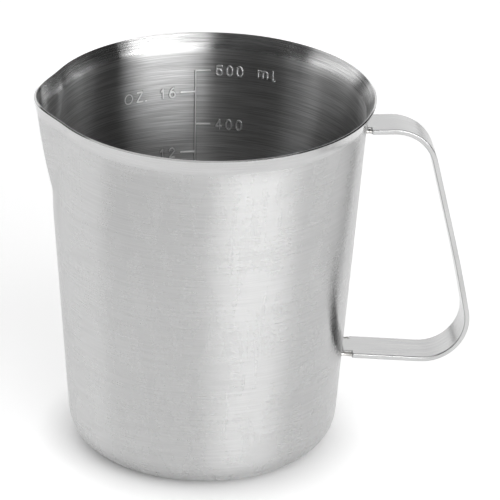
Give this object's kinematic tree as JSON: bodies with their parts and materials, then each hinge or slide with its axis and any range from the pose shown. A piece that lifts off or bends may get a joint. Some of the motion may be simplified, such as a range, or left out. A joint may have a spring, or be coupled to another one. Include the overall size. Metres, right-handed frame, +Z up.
{
  "type": "melting and pouring pot",
  "caption": "Tapered stainless pouring pot with a flared rim, pressed spout, pressed volume scale inside and a flat strap handle welded at both ends.",
  "frame": {"origin": "centre of the flat base, on the surface the pot stands on", "axes": "+Z up along the cup's axis, +X from the axis towards the handle, -X towards the spout, +Y towards the wall that carries the scale"},
  "size_m": [0.1254, 0.095, 0.1063],
  "materials": {
    "cup_steel": "drawn stainless sheet, fine hairlines running round the wall",
    "strap_steel": "satin stainless flat bar with polished edges",
    "weld_metal": "bright resistance-weld metal, slightly uneven"
  },
  "bodies": {
    "root": {"cup_body": "cup_steel", "handle_strap": "strap_steel", "upper_welds": "weld_metal", "lower_welds": "weld_metal"}
  },
  "joints": []
}
